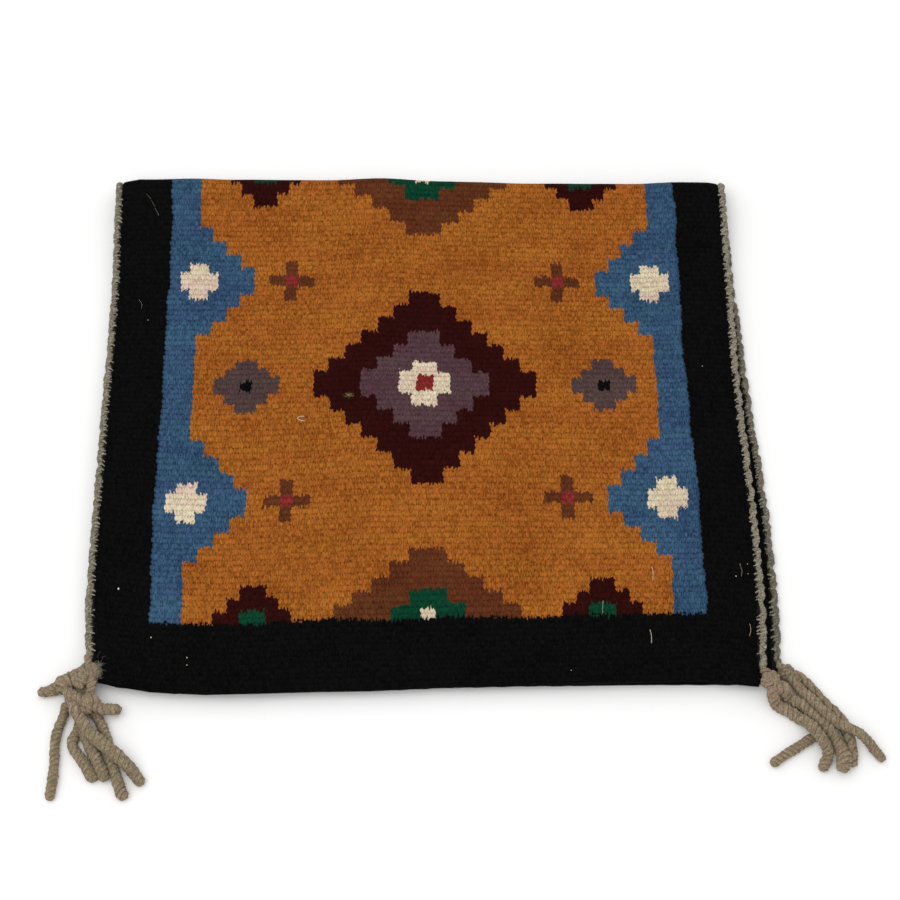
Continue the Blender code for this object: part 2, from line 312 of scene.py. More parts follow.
strands = (
    # name, knot, leaves at (compass angle, rise), diameter, plies, seen widths from root to tip,
    # plan; the widths and the plan are in millimetres
    ("strand_left_outer", "knot_left_lower", (198, -25), 0.0047, 3, (4.9, 5.3, 5.4, 5.3),
     ((-189.6, -178.1), (-190.8, -183.8), (-191.9, -189.5), (-192.5, -195.7), (-192.2, -202.5),
      (-192, -208.6), (-192.1, -214.8), (-192.6, -221.4), (-193.2, -227.5))),
    ("strand_left_loop", "knot_left_lower", (262, -35), 0.0046, 3, (5.2, 5.5, 6.1, 6.4),
     ((-181.5, -184.4), (-181.5, -188.3), (-182.8, -192.3), (-183.5, -196.3), (-181.7, -200.2),
      (-178.5, -204.1), (-175.6, -208.6), (-172.9, -212.8), (-170.1, -216.7))),
    ("strand_left_middle", None, None, 0.0049, 3, (6.6, 6.9, 6.9, 6.4),
     ((-175.9, -189), (-174.9, -192.1), (-173.6, -195.8), (-172, -199.7), (-170.1, -204.2),
      (-168.2, -208.7), (-166.1, -213.4), (-164.4, -217))),
    ("strand_left_inner", "knot_left_lower", (323, -25), 0.0052, 3, (5.9, 5.8, 6.2, 6.5),
     ((-169.6, -183.9), (-167.2, -189), (-165.2, -194.1), (-163.8, -199.8), (-162.1, -205.4),
      (-160.5, -211), (-158.5, -216.5), (-156.6, -221.5), (-154.2, -227))),
    ("strand_left_over", "knot_left_lower", (262, 38), 0.0054, 3, (6.2, 7, 7.2, 6.2),
     ((-180.1, -182.8), (-177.1, -187.6), (-173.6, -192.1), (-169.3, -196.1), (-164.1, -200.4),
      (-159.3, -204.1), (-155, -207.9), (-151, -211.6), (-147.6, -216), (-145.8, -219.3))),
    ("stub_left_outer", "knot_left_upper", (198, -8), 0.0062, 3, (10.4, 7.6, 6, 5.4),
     ((-191.2, -164.4), (-196.8, -166.4), (-201, -167))),
    ("stub_left_inner", "knot_left_lower", (340, 35), 0.0056, 3, (8.4, 7, 6.4, 6),
     ((-168.8, -178.6), (-163.3, -178.2), (-160.1, -177.7))),
    ("strand_right_under", None, None, 0.0046, 3, (5.2, 5.5, 5.4, 5.3),
     ((209.1, -190.6), (206, -192.7), (202.9, -194.6), (198, -197.9), (191.9, -201.8), (187.1, -205.1),
      (183.5, -207.9))),
    ("strand_right_back", "knot_right_lower", (350, -18), 0.0048, 2, (5.4, 5.3, 6.5, 5.6),
     ((204.9, -161.4), (209, -166.5), (212.2, -170.6), (214.9, -174.1), (218.2, -177.3), (221.5, -181.1),
      (224.1, -184.9), (226, -190), (226.9, -194.4), (227.4, -199.4), (227, -204.4), (225.6, -208.7))),
    ("strand_right_front", "knot_right_upper", (270, -14), 0.0052, 3, (7, 6.6, 6.2, 6),
     ((188.2, -173.9), (192.2, -176.6), (195.8, -178.8), (199.1, -181.4), (202.5, -184.7), (205.4, -188.3),
      (207.8, -191.8), (209.9, -195), (211.7, -197.9), (213, -200.6), (213.1, -203.6), (211.5, -207.3),
      (209.2, -211))),
    ("strand_right_middle", "knot_right_upper", (332, 0), 0.0054, 3, (7.2, 7, 7.2, 8.2),
     ((195, -170.1), (197.6, -171.8), (200.5, -173.6), (203.3, -175.8), (206.3, -178.9), (209.3, -182.6),
      (212.2, -186.6), (214.8, -190.5), (217.5, -194.6), (219.8, -199), (221.1, -203.6), (220.8, -208.2),
      (219.2, -212.5))),
    ("strand_right_long", "knot_right_lower", (300, 18), 0.0048, 3, (5.5, 5.4, 5.3, 5.2),
     ((200.7, -165.6), (204.5, -170), (207.9, -174), (211, -177.9), (214, -181.4), (217.2, -184.5),
      (220.8, -187.2), (224.8, -189.3), (228.8, -191.5), (233, -194.5), (237, -198.3), (240.2, -202.5),
      (242.2, -205.7))),
)
rootShifts = {                  # the wool leans this way near its root: x, y, reach; millimetres
    "strand_left_outer": (1.3, 0, 24),
    "strand_left_loop": (1.9, 0, 20),
    "strand_left_middle": (-1.7, 0, 22),
    "strand_right_front": (1.2, 0, 12),
    "strand_right_middle": (-1.7, -0.9, 16),
}
furtherShifts = {               # and this way further along: distance, x; millimetres
    "strand_right_back": ((24, 0), (46, -1.6), (56, -1.2), (65, -0.5)),
    "strand_right_middle": ((28, 0), (44, 0.5), (56, 0.3), (66, 0)),
}
longerStubs = {"stub_left_outer": (-2.6, -0.5, -0.2), "stub_left_inner": (1.3, -0.5, -0.1)}


def splineThrough(points):
    points = np.array(points, dtype=float)
    ends = np.concatenate([[2 * points[0] - points[1]], points, [2 * points[-1] - points[-2]]])
    a, b, c, d = (ends[i:len(points) - 1 + i, None] for i in range(4))
    t = (np.arange(yarn["stepsASpan"]) / yarn["stepsASpan"])[:, None]
    made = 0.5 * (2 * b + (c - a) * t + (2 * a - 5 * b + 4 * c - d) * t * t
                  + (3 * b - a - 3 * c + d) * t ** 3)
    return np.concatenate([made.reshape(-1, 3), points[-1:]])


def lengthsAlong(line):
    return np.concatenate([[0], np.cumsum(np.linalg.norm(np.diff(line, axis=0), axis=1))])


def spacedEvenly(line, step):
    reach = lengthsAlong(line)
    count = max(4, int(round(reach[-1] / step)) + 1)
    at = np.linspace(0, reach[-1], count)
    return np.stack([np.interp(at, reach, line[:, k]) for k in range(3)], axis=1)


def evenCurve(places, step):
    return spacedEvenly(splineThrough(places), step)


def smoothed(line, passes):
    line = line.copy()
    for _ in range(passes):
        line[1:-1] = (line[:-2] + 2 * line[1:-1] + line[2:]) / 4
    return line


def unit(vectors):
    return vectors / np.linalg.norm(vectors, axis=-1, keepdims=True)


def facing(compass, rise):
    turn, lift = math.radians(compass), math.radians(rise)
    return np.array([math.cos(turn) * math.cos(lift), math.sin(turn) * math.cos(lift), math.sin(lift)])


def knotExit(knot, compass, rise, diameter):
    centre, half = (np.array(v) for v in knots[knot])
    way = facing(compass, rise)
    start = centre + half * half * way / np.linalg.norm(way * half) + way * yarn["knotClearance"]
    return start, start + way * diameter / 2, way


def lieOn(line, radius, laid):
    # lifts a strand where it crosses the ones laid before it
    reach = lengthsAlong(line[:, :2])
    line[:, 2] = np.maximum(line[:, 2], radius + yarn["surfaceClearance"])
    natural = line[:, 2].copy()
    raised = natural.copy()
    for other, otherRadius in laid:
        touch = radius + otherRadius + yarn["strandClearance"]
        flat = np.hypot(line[:, None, 0] - other[None, :, 0], line[:, None, 1] - other[None, :, 1])
        need = other[None, :, 2] + np.sqrt(np.maximum(touch ** 2 - flat ** 2, 0))
        raised = np.maximum(raised, np.where(flat < touch, need, -1).max(axis=1))
    for at, z in zip(reach[raised > natural], raised[raised > natural]):
        line[:, 2] = np.maximum(line[:, 2], z - yarn["dropRate"] * (at - reach) ** 2)


def framesAlong(line):
    # directions square to the line that don't spin as it turns
    ahead = unit(np.gradient(line, axis=0))
    guess = np.array([0, 0, 1.0]) if abs(ahead[0, 2]) < 0.9 else np.array([1.0, 0, 0])
    sideways = np.empty_like(line)
    for i, way in enumerate(ahead):
        guess = unit(guess - way * guess.dot(way))
        sideways[i] = guess
    return ahead, sideways, np.cross(ahead, sideways)


def circling(angle, first, second):
    # from the line out to a circle square to it
    return np.cos(angle)[..., None] * first + np.sin(angle)[..., None] * second


def woolLumps(reach, spin, depth):
    # small uneven bulges that follow the plies
    total = np.zeros_like(spin)
    for count, slowest, fastest, share in ((9, 300, 1000, 0.022), (8, 1000, 3200, 0.015)):
        for _ in range(count):
            rate = between(slowest, fastest)
            around = random.integers(1, 8)
            total += share * np.sin(reach[:, None] * rate + spin * around + between(0, 6.3))
    return total * depth


def tubeParts(line, radius, pitch, groove, sides=16, start=0.0, capStart=0.3, capEnd=1.0, wobble=0.03,
              plies=3, lumps=1.0, girth=(1.0, 1.0)):
    # a twisted yarn: rings round the line, pinched by grooves that wind round it
    ahead, first, second = framesAlong(line)
    reach = lengthsAlong(line)
    long = reach[-1]
    phases = between(0, 2 * np.pi, 3)
    turn = 2 * np.pi * np.arange(sides) / sides
    size = 1 + wobble * (np.sin(reach * 260 + phases[0]) + 0.7 * np.sin(reach * 611 + phases[1]))
    size = size * np.interp(reach / long, np.linspace(0, 1, len(girth)), girth)
    for distance, cap in ((reach, capStart), (long - reach, capEnd)):
        blunt = np.clip(1 - distance / (radius * 1.15), 0, 1) * cap
        size = size * np.sqrt(np.maximum(1 - blunt ** 2, 0.02))
    spin = turn[None, :] - 2 * np.pi * reach[:, None] / pitch - start
    pinch = (1 - groove) + groove * np.abs(np.cos(spin * plies / 2)) ** 0.8
    across = radius * size[:, None] * (pinch + woolLumps(reach, spin, lumps))
    points = line[:, None, :] + across[..., None] * circling(turn, first[:, None, :], second[:, None, :])
    points[..., 2] = np.maximum(points[..., 2], 0.00008)
    index = np.arange(len(line) * sides).reshape(-1, sides)
    turns = np.arange(sides + 1) / sides - start / (2 * np.pi)
    grid = np.stack(np.meshgrid(reach, turns, indexing="ij"), -1)
    maps = np.stack([grid[:-1, :-1], grid[:-1, 1:], grid[1:, 1:], grid[1:, :-1]], axis=2)
    faces, corners = gridFaces(index), list(maps.reshape(-1, 2))
    for ring, way in ((0, -1), (-1, 1)):
        faces.append(index[ring, ::way].tolist())
        corners += [(reach[ring], i / sides) for i in range(sides)]
    return points.reshape(-1, 3), faces, corners


def hairParts(starts, ways, lengths, radius, mapPlaces, curl=0.35, steps=4):
    # fine loose fibres: thin three-sided tubes that curl and come to a point
    count = len(starts)
    side = unit(np.cross(ways, random.normal(size=(count, 3))))
    other = np.cross(ways, side)
    t = np.linspace(0, 1, steps + 1)
    bend = between(-curl, curl, (count, 2)) * lengths[:, None]
    line = (starts[:, None, :] + ways[:, None, :] * (lengths[:, None] * t)[..., None]
            + side[:, None, :] * (bend[:, :1] * t ** 2)[..., None]
            + other[:, None, :] * (bend[:, 1:] * np.sin(3 * t))[..., None] * 0.4)
    ring = circling(np.array([0, 2, 4]) * np.pi / 3, side[:, None, None, :], other[:, None, None, :])
    points = line[:, :, None, :] + (radius * (1 - 0.75 * t))[None, :, None, None] * ring
    points[..., 2] = np.maximum(points[..., 2], 0.00005)
    faces, corners = [], []
    for index, place in zip(np.arange(points.size // 3).reshape(count, -1, 3), mapPlaces):
        faces += gridFaces(index) + [index[0, ::-1].tolist(), index[-1].tolist()]
        corners += [tuple(place)] * (4 * steps * 3 + 6)
    return points.reshape(-1, 3), faces, corners


def hairsOnTube(line, radius, kind):
    # fibres that stand off a yarn, most of them nearly along it
    count, longest = yarn["hairs"][kind]
    ahead, first, second = framesAlong(line)
    at = random.integers(1, len(line) - 1, count)
    angle = between(0, 2 * np.pi, count)
    outward = circling(angle, first[at], second[at])
    around = np.cross(ahead[at], outward)
    lean = random.choice((-1.0, 1.0), count)[:, None] * between(0.5, 1.0, (count, 1))
    ways = ahead[at] * lean + around * random.normal(0, 0.5, (count, 1))
    ways = unit(ways + outward * between(0.12, 0.42, (count, 1)))
    lengths = longest * between(0.4, 1.0, count)
    places = np.stack([lengthsAlong(line)[at], angle / (2 * np.pi)], -1)
    return hairParts(line[at] + outward * radius * 0.93, ways, lengths, yarn["hair"], places)


# The yarn's material: undyed wool, heathered from warm beige to grey-green and pinkish brown

cordWool = {
    "warm": (0.250, 0.188, 0.119),
    "green": (0.182, 0.158, 0.082),
    "pink": (0.262, 0.160, 0.120),
    "pale": (0.510, 0.425, 0.305),
    "shade": (0.062, 0.046, 0.029),
    "shadeSpan": (0.49, 0.36),
    "bump": 0.00022,
    "finish": (0.93, 0.12, 0.10, 0.5, (0.9, 0.82, 0.7, 1)),  # roughness, gloss, sheen, its roughness, tint
}
# the same wool on both side cords: the left cord's copy is painted darker than the right's, a painted shade
# that offsets the key light falling more on the left
leftEdgeWool = dict(cordWool, warm=(0.188, 0.161, 0.120), green=(0.146, 0.142, 0.092),
                    pink=(0.195, 0.146, 0.118), pale=(0.610, 0.560, 0.455),
                    shade=(0.026, 0.021, 0.014), shadeSpan=(0.495, 0.395))
rightEdgeWool = dict(leftEdgeWool, warm=(0.233, 0.202, 0.150), green=(0.180, 0.178, 0.116),
                     pink=(0.240, 0.180, 0.145), pale=(0.700, 0.650, 0.535), lowShade=0.45)


def cordMaterial(name, look, pitch, plies=3):
    material, shader = newMaterial(name)
    along, around = readMap("along")
    coords = objectPlace()
    # dye changes slowly along the yarn
    slow = noiseAt(coords, 70.0, 3.0)
    other = noiseAt(((along, 60.0), 3.0, 7.0), 1.0)
    # fibres wind round with the twist
    wind = calc("MULTIPLY", calc("SUBTRACT", around, calc("DIVIDE", along, pitch)), 2 * math.pi)
    onPlies = joinAxes((calc("SINE", wind), 2.6), (calc("COSINE", wind), 2.6), (along, 330.0))
    flecks = noiseAt(onPlies, 1.9, 2.0, 0.6)
    fibres = noiseAt(onPlies, 4.2, 3.0, 0.65)
    specks = noiseAt(coords, 980.0, 2.0, 0.6)
    hues = noiseAt(coords, 520.0)
    fuzz = noiseAt(coords, 2600.0, 2.0, 0.7)
    light = calc("ADD", (specks, 0.36), (flecks, 0.42), (fibres, 0.22))
    groove = calc("ABSOLUTE", calc("COSINE", (wind, plies / 2)))
    tones = [                   # what carries a tone, where it starts and is full, how much, the tone
        (calc("ADD", (slow, 0.4), (hues, 0.6)), 0.46, 0.60, 1.0, "green"),
        (calc("ADD", (other, 0.4), (hues, -0.6)), -0.09, 0.03, 0.9, "pink"),
        (light, 0.49, 0.66, 0.90, "pale"),
        (light, *look["shadeSpan"], 0.88, "shade"),
        (fuzz, 0.50, 0.72, 0.45, "pale"),
        # painted shade in the grooves between plies
        (calc("ADD", groove, (fibres, 0.5), -0.25), 0.42, 0.02, 0.60, "shade"),
    ]
    if "lowShade" in look:      # the lower layer's cord lies in the fuzz and shade of the upper
        # painted shade: low down the lower layer's cord is painted darker, as shade from the upper layer, in
        # patches that also stand for black fuzz over it
        patchy = calc("ADD", addNode("SeparateXYZ", {0: coords})[2], (slow, 0.004), -0.002)
        tones.append((patchy, 0.0062, 0.0036, look["lowShade"], "shade"))
    colour = look["warm"]
    for value, starts, full, most, tone in tones:
        colour = blendColours(stretchRange(value, starts, full, most), colour, look[tone])
    height = calc("ADD", fibres, (fuzz, 0.6), (flecks, 0.9))
    finishWool(shader, colour, height, 0.8, look["bump"], look["finish"])
    return material


# Loose yarn ends, before anything else that is made

def makeStrands():
    laid = []
    for name, knot, leaves, diameter, plies, widths, plan in strands:
        radius = diameter / 2
        route = [(x * mm, y * mm, radius + yarn["surfaceClearance"]) for x, y in plan]
        if knot:
            *first, way = knotExit(knot, *leaves, diameter)
            route = first + route
        line = splineThrough(route)
        start = line[0].copy()
        lieOn(line, radius, laid)
        laid.append((line.copy(), radius))
        if knot:                # the root goes into the knot
            line = np.concatenate([[start - way * 0.0022], line[:1], line[yarn["stepsASpan"]:]])
        if name in longerStubs:
            line = np.concatenate([line, [line[-1] + np.array(longerStubs[name]) * mm]])
        if name in rootShifts:
            dx, dy, fade = (v * mm for v in rootShifts[name])
            line[:, :2] += eased(1 - lengthsAlong(line) / fade)[:, None] * (dx, dy)
        if name in furtherShifts:
            places, leans = np.array(furtherShifts[name]).T * mm
            line[:, 0] += np.interp(lengthsAlong(line), places, leans)
        rings = smoothed(spacedEvenly(line, yarn["ringStep"]), 6)
        pitch, groove = yarn["pitch"], yarn["groove"]
        if plies == 2:
            pitch, groove = yarn["loosePitch"], yarn["looseGroove"]
        girth = [width * mm / diameter for width in widths]
        tube = tubeParts(rings, radius, pitch, groove, sides=32, start=between(0, 3), capEnd=0.8,
                         plies=plies, girth=girth)
        hairs = hairsOnTube(rings, radius * girth[1], "strand")
        piece = makePiece(name + "_yarn", [tube, hairs], cordMaterial(name + "Wool", cordWool, pitch, plies),
                          standsFor=name)


makeStrands()
print("loose yarn ends laid", len(strands))


# End cords: two plies twisted round each other, along both side edges and round the fold

endCord = {
    "diameter": 0.0042,
    "clearance": 0.0003,
    "sewnShare": 0.965,
    "samples": 220,
    "pitch": 0.0112,
    "plyPitch": 0.0062,
    "plyRadius": {"left": 0.00166, "right": 0.00150},
    "plyReach": {"left": 0.00056, "right": 0.00078},
    # how far the wool presses in against the cloth's edge: y from front to fold, depth
    "tuck": ((-0.170, 0.0004), (-0.152, 0.0), (-0.135, -0.0003), (-0.115, -0.0002), (-0.095, 0.0005)),
    "ends": {                   # for each layer of a side: knot, compass angle, rise
        "left": {1: ("knot_left_upper", 82, -12), -1: ("knot_left_lower", 68, -22)},
        "right": {1: ("knot_right_upper", 112, -12), -1: ("knot_right_lower", 125, -18)},
    },
}


def makeEndCord(side, look):
    halves = {}
    for layer, ending in endCord["ends"][side].items():
        sewn = layer * cloth["layerDepth"] * endCord["sewnShare"]
        line = besideCloth(side, sewn * np.arange(endCord["samples"] + 1) / endCord["samples"],
                           endCord["diameter"] / 2 + endCord["clearance"])
        line[:, 2] = np.maximum(line[:, 2], endCord["diameter"] / 2)
        start, out, way = knotExit(*ending, endCord["diameter"])
        bridge = splineThrough([line[-8], line[-1], out, start, start - way * 0.003])
        halves[layer] = np.concatenate([line[:-8], bridge])
    whole = np.concatenate([halves[-1][::-1], halves[1][1:]])
    middle = smoothed(spacedEvenly(whole, 0.0007), 10)
    places, depths = np.array(endCord["tuck"]).T
    middle[:, 0] += np.interp(middle[:, 1], places, depths) * inward[side]
    ahead, first, second = framesAlong(middle)
    reach = lengthsAlong(middle)
    radius, spread, pitch = endCord["plyRadius"][side], endCord["plyReach"][side], endCord["plyPitch"]
    parts = []
    for ply in (0, 1):
        wander = (0.9 * np.sin(reach * 47 + 2 * ply) + 0.5 * np.sin(reach * 131 + ply)
                  + 0.35 * np.sin(reach * 310 + 4 * ply))
        turn = 2 * np.pi * reach / endCord["pitch"] + wander + math.pi * ply
        girth = 1 + 0.09 * np.sin(np.linspace(0, 190, 400) + ply) * np.sin(np.linspace(0, 67, 400))
        parts.append(tubeParts(middle + spread * circling(turn, first, second), radius, pitch,
                               groove=0.15, wobble=0.05, lumps=1.7, girth=girth))
    parts.append(hairsOnTube(middle, radius + spread, "endCord"))
    return makePiece(f"end_cord_{side}_plies", parts, cordMaterial(side + "EdgeWool", look, pitch),
                     standsFor=f"end_cord_{side}")


endCords = [makeEndCord("left", leftEdgeWool), makeEndCord("right", rightEdgeWool)]
print("end cords twisted")


# Where cord and cloth meet: turns of pale warp over the cord's inner side, black wool between

joint = {
    # step along the cord, yarn radius, reach over the cord, dip into the cloth, share of turns kept,
    # and radius of the wool that turns back along the edge
    "pale": {"step": 0.0036, "radius": 0.00044, "reach": 0.0022, "dip": -0.0002, "share": 0.8, "edge": 0.0},
    "dark": {"step": 0.0052, "radius": 0.00046, "reach": 0.0013, "dip": 0.0004, "share": 0.9,
             "edge": 0.0010},
    "turnsFrom": 0.012,         # distance from the fold, and then from the front
    "turnsTo": 0.016,
    "edgeEnds": 0.009,
    "pitch": 0.0030,
    "edgePitch": 0.0040,
    # black wool that fills the corner by the lower right knot: radius and places, millimetres
    "corner": (1.7, ((187.6, -140, 1.9), (188.4, -148, 2), (188.8, -154, 2), (188.4, -159, 1.9))),
}
blackYarn = dict(cordWool, warm=(0.0050, 0.0050, 0.0047), green=(0.0042, 0.0050, 0.0046),
                 pink=(0.0060, 0.0050, 0.0050), pale=(0.0105, 0.0105, 0.0100),
                 shade=(0.0020, 0.0020, 0.0020), bump=0.0002)
stitchWool = dict(cordWool, warm=(0.33, 0.29, 0.22), pink=(0.34, 0.27, 0.22), green=(0.26, 0.25, 0.17),
                  pale=(0.60, 0.55, 0.46))


def jointLine(side, layer, place, slant, reach, dip):
    # from the cord's crown, down its inner side and a little way into the cloth
    out = np.array([reach, reach * 0.6, reach * 0.25, -0.0003, -0.0009])
    base = besideCloth(side, layer * (place + slant * np.linspace(0, 1, 5)), out)
    lift = np.array([0.0012, 0.0021, 0.0020, 0.0012, dip])
    base[:, 2] += lift * (1.0 if layer > 0 else 0.92) + 0.0002
    return evenCurve(base, 0.0004)


def makeJoint(name, wool):
    look, parts, front = joint[name], [], cloth["layerDepth"]
    for side, layer in (("left", 1), ("right", 1), ("right", -1), ("left", -1)):
        if look["edge"]:
            distance = layer * np.arange(joint["edgeEnds"], front - joint["edgeEnds"], 0.0012)
            line = besideCloth(side, distance, 0.0004)
            line[:, 0] += 0.00015 * np.sin(distance * 900)
            parts.append(tubeParts(line, look["edge"], joint["edgePitch"], groove=0.20, sides=10, lumps=1.4))
        if side == "left" and layer < 0:
            continue
        place = joint["turnsFrom"] + between(0, look["step"])
        while place < front - joint["turnsTo"]:
            slant = between(-0.0016, 0.0016)
            reach = look["reach"] * between(0.6, 1.1)
            if between() < look["share"]:
                line = jointLine(side, layer, place, slant, reach, look["dip"])
                parts.append(tubeParts(line, look["radius"] * between(0.75, 1.25), joint["pitch"],
                                       groove=0.15, sides=9, capStart=0.9, capEnd=0.9, wobble=0.08))
            place += look["step"] * between(0.65, 1.35)
    if look["edge"]:
        wide, places = joint["corner"]
        parts.append(tubeParts(evenCurve(np.array(places) * mm, 0.0008), wide * mm, joint["edgePitch"],
                               groove=0.20, sides=14, capStart=0.9, lumps=1.4))
    return makePiece(f"joint_{name}_turns", parts, cordMaterial(name + "TurnsWool", wool, joint["pitch"]))


paleTurns, darkTurns = makeJoint("pale", stitchWool), makeJoint("dark", blackYarn)
print("cords sewn to the cloth")


# Corner knots: turns of the same yarn wound over a small core

knotLook = {
    "yarnRadius": 0.0021,
    "groove": 0.14,
    "core": 0.80,               # share of the knot's size
    "turns": {                  # way the turn leans (compass, rise), shift along it, phase
        "left": (((20, 12), -0.28, 0.0), ((28, -6), 0.26, 1.1), ((100, 20), 0.05, 2.3),
                 ((62, 48), 0.02, 0.6)),
        "right": (((40, 8), -0.30, 0.0), ((48, -6), 0.28, 1.1), ((130, 14), 0.05, 2.3)),
    },
    # extra turns that lie over a knot: radius and places, millimetres
    "knot_left_upper": (
        (2.5, ((-176.2, -154.6, 8.2), (-174.9, -160, 9.2), (-174.6, -165.8, 9.4), (-175.6, -171, 8.4),
              (-175.2, -175.2, 8))),
        (1.9, ((-176, -159.6, 10.2), (-180.4, -158.4, 11.2), (-184, -160.8, 11.4), (-183, -165, 11.6),
              (-178.6, -168, 11))),
        (2.2, ((-199.4, -167, 4.8), (-193.4, -164.6, 6.8), (-188, -161.4, 8.8), (-184, -159.6, 9.4))),
        (1.8, ((-182, -159.6, 8), (-179.6, -159.2, 8.6), (-177.4, -159, 8.6), (-175.6, -159, 8))),
        (1.5, ((-176, -153.2, 9), (-173.8, -155, 10.2), (-172.4, -158.2, 10.4), (-173.4, -162, 10))),
        (2.0, ((-178.6, -147.5, 8.4), (-177.4, -152, 9), (-176.8, -156.5, 9.4), (-177.6, -161, 9.2)))),
    "knot_left_lower": (
        (3.1, ((-189.4, -167, 8.4), (-185.6, -170.8, 9.4), (-181, -173.8, 9.6), (-176.4, -176.2, 9.4),
              (-171.4, -178.2, 8.6))),
        (2.4, ((-188, -172, 6.8), (-183.6, -175.6, 8), (-178.8, -178.4, 8.4), (-173.6, -180.2, 7.2))),
        (3.0, ((-186, -166, 5.4), (-182.6, -166.6, 5.8), (-178.8, -167.6, 5.8), (-175, -168.6, 5.4)))),
    "knot_right_upper": (
        (1.0, ((180, -157.8, 8), (181.5, -157.4, 9.8), (183.6, -157.5, 10.3), (185.6, -158.4, 9.4))),
        (2.0, ((181, -165.6, 9.4), (183.6, -162.8, 11.4), (187, -163.6, 11.4), (189.6, -167.6, 8.6))),
        (1.9, ((182, -160.4, 9.6), (185.6, -161, 11.2), (188.6, -164.4, 9.8), (191.6, -168, 7.4)))),
    "knot_right_lower": (
        (0.9, ((190, -155.4, 6.6), (191.6, -155.4, 8.4), (193.8, -155.2, 8.9), (196.2, -154.4, 7.4))),
        (2.0, ((189.6, -151.4, 4), (191.6, -154.2, 6.2), (194.4, -157.4, 7.6), (197.6, -161.2, 7))),
        (1.7, ((192.4, -153.4, 4.4), (195.4, -155.6, 5.8), (198.4, -158.6, 5.4), (201.4, -161.6, 4)))),
}


def ellipsoidCore(centre, half, share):
    rings, sides = 12, 18
    rise = np.linspace(-np.pi / 2, np.pi / 2, rings + 1)[1:-1]
    turn = 2 * np.pi * np.arange(sides) / sides
    shape = np.stack([np.cos(rise)[:, None] * np.cos(turn), np.cos(rise)[:, None] * np.sin(turn),
                      np.sin(rise)[:, None] * np.ones(sides)], axis=-1)
    points = np.concatenate([shape.reshape(-1, 3), [(0, 0, -1)], [(0, 0, 1)]])
    points = np.asarray(centre) + points * np.asarray(half) * share
    index = np.arange((rings - 1) * sides).reshape(-1, sides)
    near = np.roll(index, -1, axis=1)
    bottom, top = len(points) - 2, len(points) - 1
    faces = gridFaces(index) + [[bottom, b, a] for a, b in zip(index[0], near[0])]
    faces += [[top, a, b] for a, b in zip(index[-1], near[-1])]
    return points, faces, [tuple(points[i][:2]) for f in faces for i in f]


def knotTurn(centre, half, leans, shift, phase, radius, mirror):
    # one closed turn of yarn on the knot's surface, square to the way it leans
    axis = facing(*leans) * (mirror, 1, 1)
    first = unit(np.cross(axis, (0, 0, 1.0)))
    angle = np.linspace(0, 2 * np.pi, 57)
    line = shift * axis + math.sqrt(1 - shift ** 2) * circling(angle, first, np.cross(axis, first))
    line = unit(line + (0.16 * np.sin(2 * angle + phase))[:, None] * axis)
    return np.asarray(centre) + line * (np.asarray(half) - radius * 0.96)


def makeKnot(name, material):
    centre, half = knots[name]
    side = "left" if "left" in name else "right"
    radius, pitch, groove = knotLook["yarnRadius"], yarn["pitch"], knotLook["groove"]
    parts = [ellipsoidCore(centre, half, knotLook["core"])]
    for leans, shift, phase in knotLook["turns"][side]:
        line = knotTurn(centre, half, leans, shift, phase, radius, inward[side])
        parts.append(tubeParts(line, radius, pitch, groove, sides=20, capStart=0, capEnd=0, start=phase))
        parts.append(hairsOnTube(line, radius, "knotTurn"))
    for wide, places in knotLook[name]:
        line = evenCurve(np.array(places) * mm, 0.0005)
        parts.append(tubeParts(line, wide * mm, pitch, groove, sides=28, capStart=0.9, capEnd=0.9,
                               lumps=1.3, girth=(0.82, 1.0, 1.05, 1.0, 0.85)))
        parts.append(hairsOnTube(line, wide * mm, "overTurn"))
    return makePiece(name + "_turns", parts, material, standsFor=name)


knotMaterial = cordMaterial("knotWool", cordWool, yarn["pitch"])
knotPieces = [makeKnot(name, knotMaterial) for name in knots]
print("knots tied", len(knotPieces))


# The woven cloth: one closed sheet with a real ridge for every warp

weave = {
    "ribsALayer": 97,
    "ridge": 0.00024,           # crest above the groove
    "topSamples": (0.0, 0.13, 0.36, 0.64, 0.87),
    "lowSamples": (0.0, 0.25, 0.75),
    "columns": 80,
    "innerColumns": 12,
    "frontAngles": (28.0, 52.0, 72.0),
    "edgeAngles": (0.0, 28.0, 56.0, 90.0),
    "edgeReach": 0.0013,
    "beadPitch": 0.00165,       # along a rib
    "patternLeft": -0.1765,
    "patternWidth": 0.3530,
    "bump": 0.00028,
    "finish": (0.96, 0.03, 0.005, 0.6, (1, 0.95, 0.9, 1)),   # roughness, gloss, sheen, its roughness, tint
}
ribPitch = cloth["layerDepth"] / weave["ribsALayer"]


def ribDistance(rib, across):
    # distance from the fold of a place counted in ribs; ribs are packed unevenly
    share = rib / weave["ribsALayer"]
    uneven = 0.0015 * np.sin(3 * np.pi * share) + 0.0007 * np.sin(7 * np.pi * share)
    bow = 0.0011 * np.sin(np.pi * share) * np.sin(2 * np.pi * (across * 1.15 + 0.2))
    return rib * ribPitch + uneven + bow


def slowLumps(x, y):
    return (0.00022 * np.sin(61 * x + 1.3 + 0.8 * np.sin(37 * y)) * np.sin(53 * y + 0.4)
            + 0.00012 * np.sin(143 * x + 2.1) * np.sin(119 * y + 1.7 * np.sin(31 * x)))


def onPattern(across, along):
    # places on the flat pattern, in metres from its middle line and from the fold
    return np.stack([weave["patternLeft"] + across * weave["patternWidth"], along], -1)


